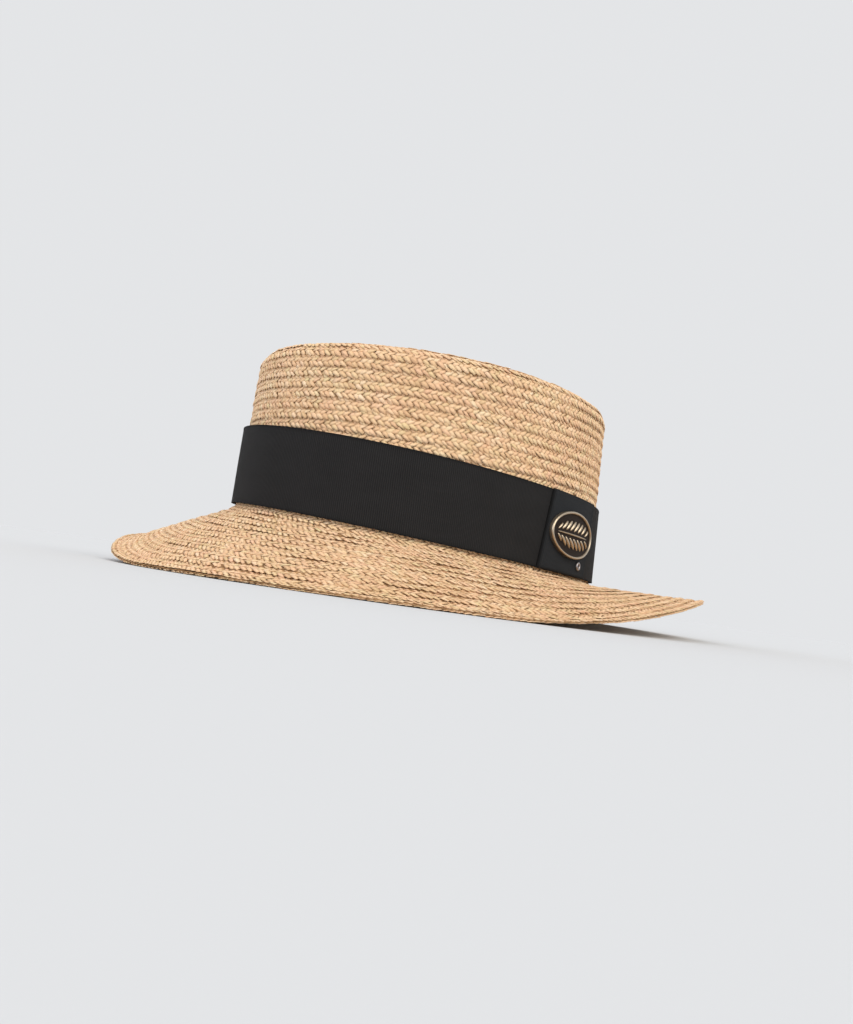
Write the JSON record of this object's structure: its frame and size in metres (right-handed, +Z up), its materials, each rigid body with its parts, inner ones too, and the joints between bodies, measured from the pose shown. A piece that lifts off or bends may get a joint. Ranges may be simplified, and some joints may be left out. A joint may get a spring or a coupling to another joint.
{
  "type": "flat-topped sewn raffia hat with ribbon band",
  "caption": "Flat-topped oval hat of sewn raffia braid with a drooping wavy brim, a black ribbon band and an oval metal badge; it rests on its brim.",
  "frame": {"origin": "middle of the footprint in the plane that the brim rests on", "axes": "+Z up through the crown, -Y to the front of the hat, +X to the wearer's left, where the badge is"},
  "size_m": [0.279, 0.3152, 0.1095],
  "materials": {
    "raffia": "sewn raffia braid, warm tan, satin strands",
    "ribbon": "matte black grosgrain ribbon",
    "badge_metal": "antique gilt with a polished raised rim and a dark recessed field",
    "eyelet_metal": "polished, slightly warm"
  },
  "bodies": {
    "root": {"crown": "raffia", "brim": "raffia", "ribbon_band": "ribbon", "ribbon_tab": "ribbon", "badge": "badge_metal", "eyelet": "eyelet_metal"}
  },
  "joints": []
}
